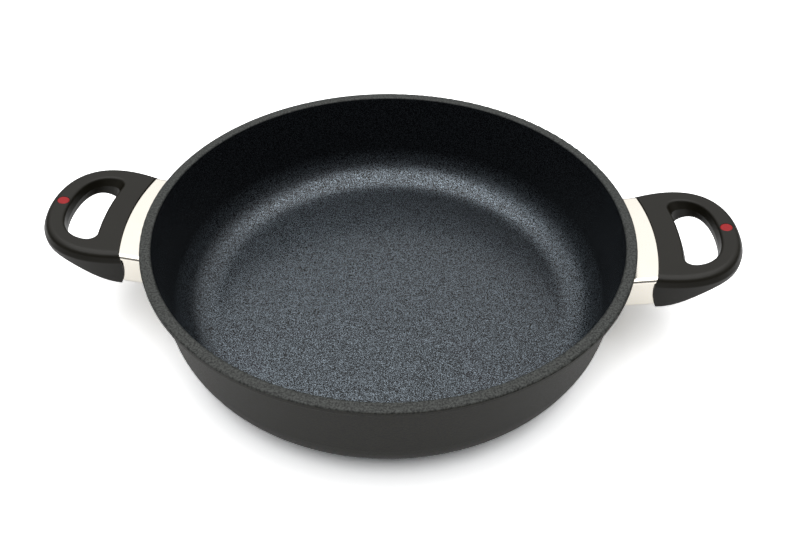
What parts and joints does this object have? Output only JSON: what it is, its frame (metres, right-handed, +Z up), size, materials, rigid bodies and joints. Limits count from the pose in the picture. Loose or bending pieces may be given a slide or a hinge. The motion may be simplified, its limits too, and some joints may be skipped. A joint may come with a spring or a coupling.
{
  "type": "braising pan",
  "caption": "Round cast braising pan with a coated inside, two screwed D-shaped side handles and polished flame guards.",
  "frame": {"origin": "centre of the base's underside, on the surface the pan stands on", "axes": "X through both handles, Y across them, Z up"},
  "size_m": [0.4144, 0.291, 0.0747],
  "materials": {
    "coated_aluminium": "dark grey non-stick coating with a fine mineral fleck",
    "polished_steel": "polished",
    "grip_plastic": "matte phenolic moulding",
    "red_enamel": "glossy enamel",
    "fastener_steel": "plain stainless"
  },
  "bodies": {
    "root": {"pan_body": "coated_aluminium", "flame_guard_left": "polished_steel", "flame_guard_right": "polished_steel", "handle_grip_left": "grip_plastic", "handle_grip_right": "grip_plastic", "badge_left": "red_enamel", "badge_right": "red_enamel", "handle_screw_left": "fastener_steel", "handle_screw_right": "fastener_steel", "flat_washer_left": "fastener_steel", "flat_washer_right": "fastener_steel", "lock_washer_left": "fastener_steel", "lock_washer_right": "fastener_steel", "thread_insert_left": "fastener_steel", "thread_insert_right": "fastener_steel"}
  },
  "joints": []
}
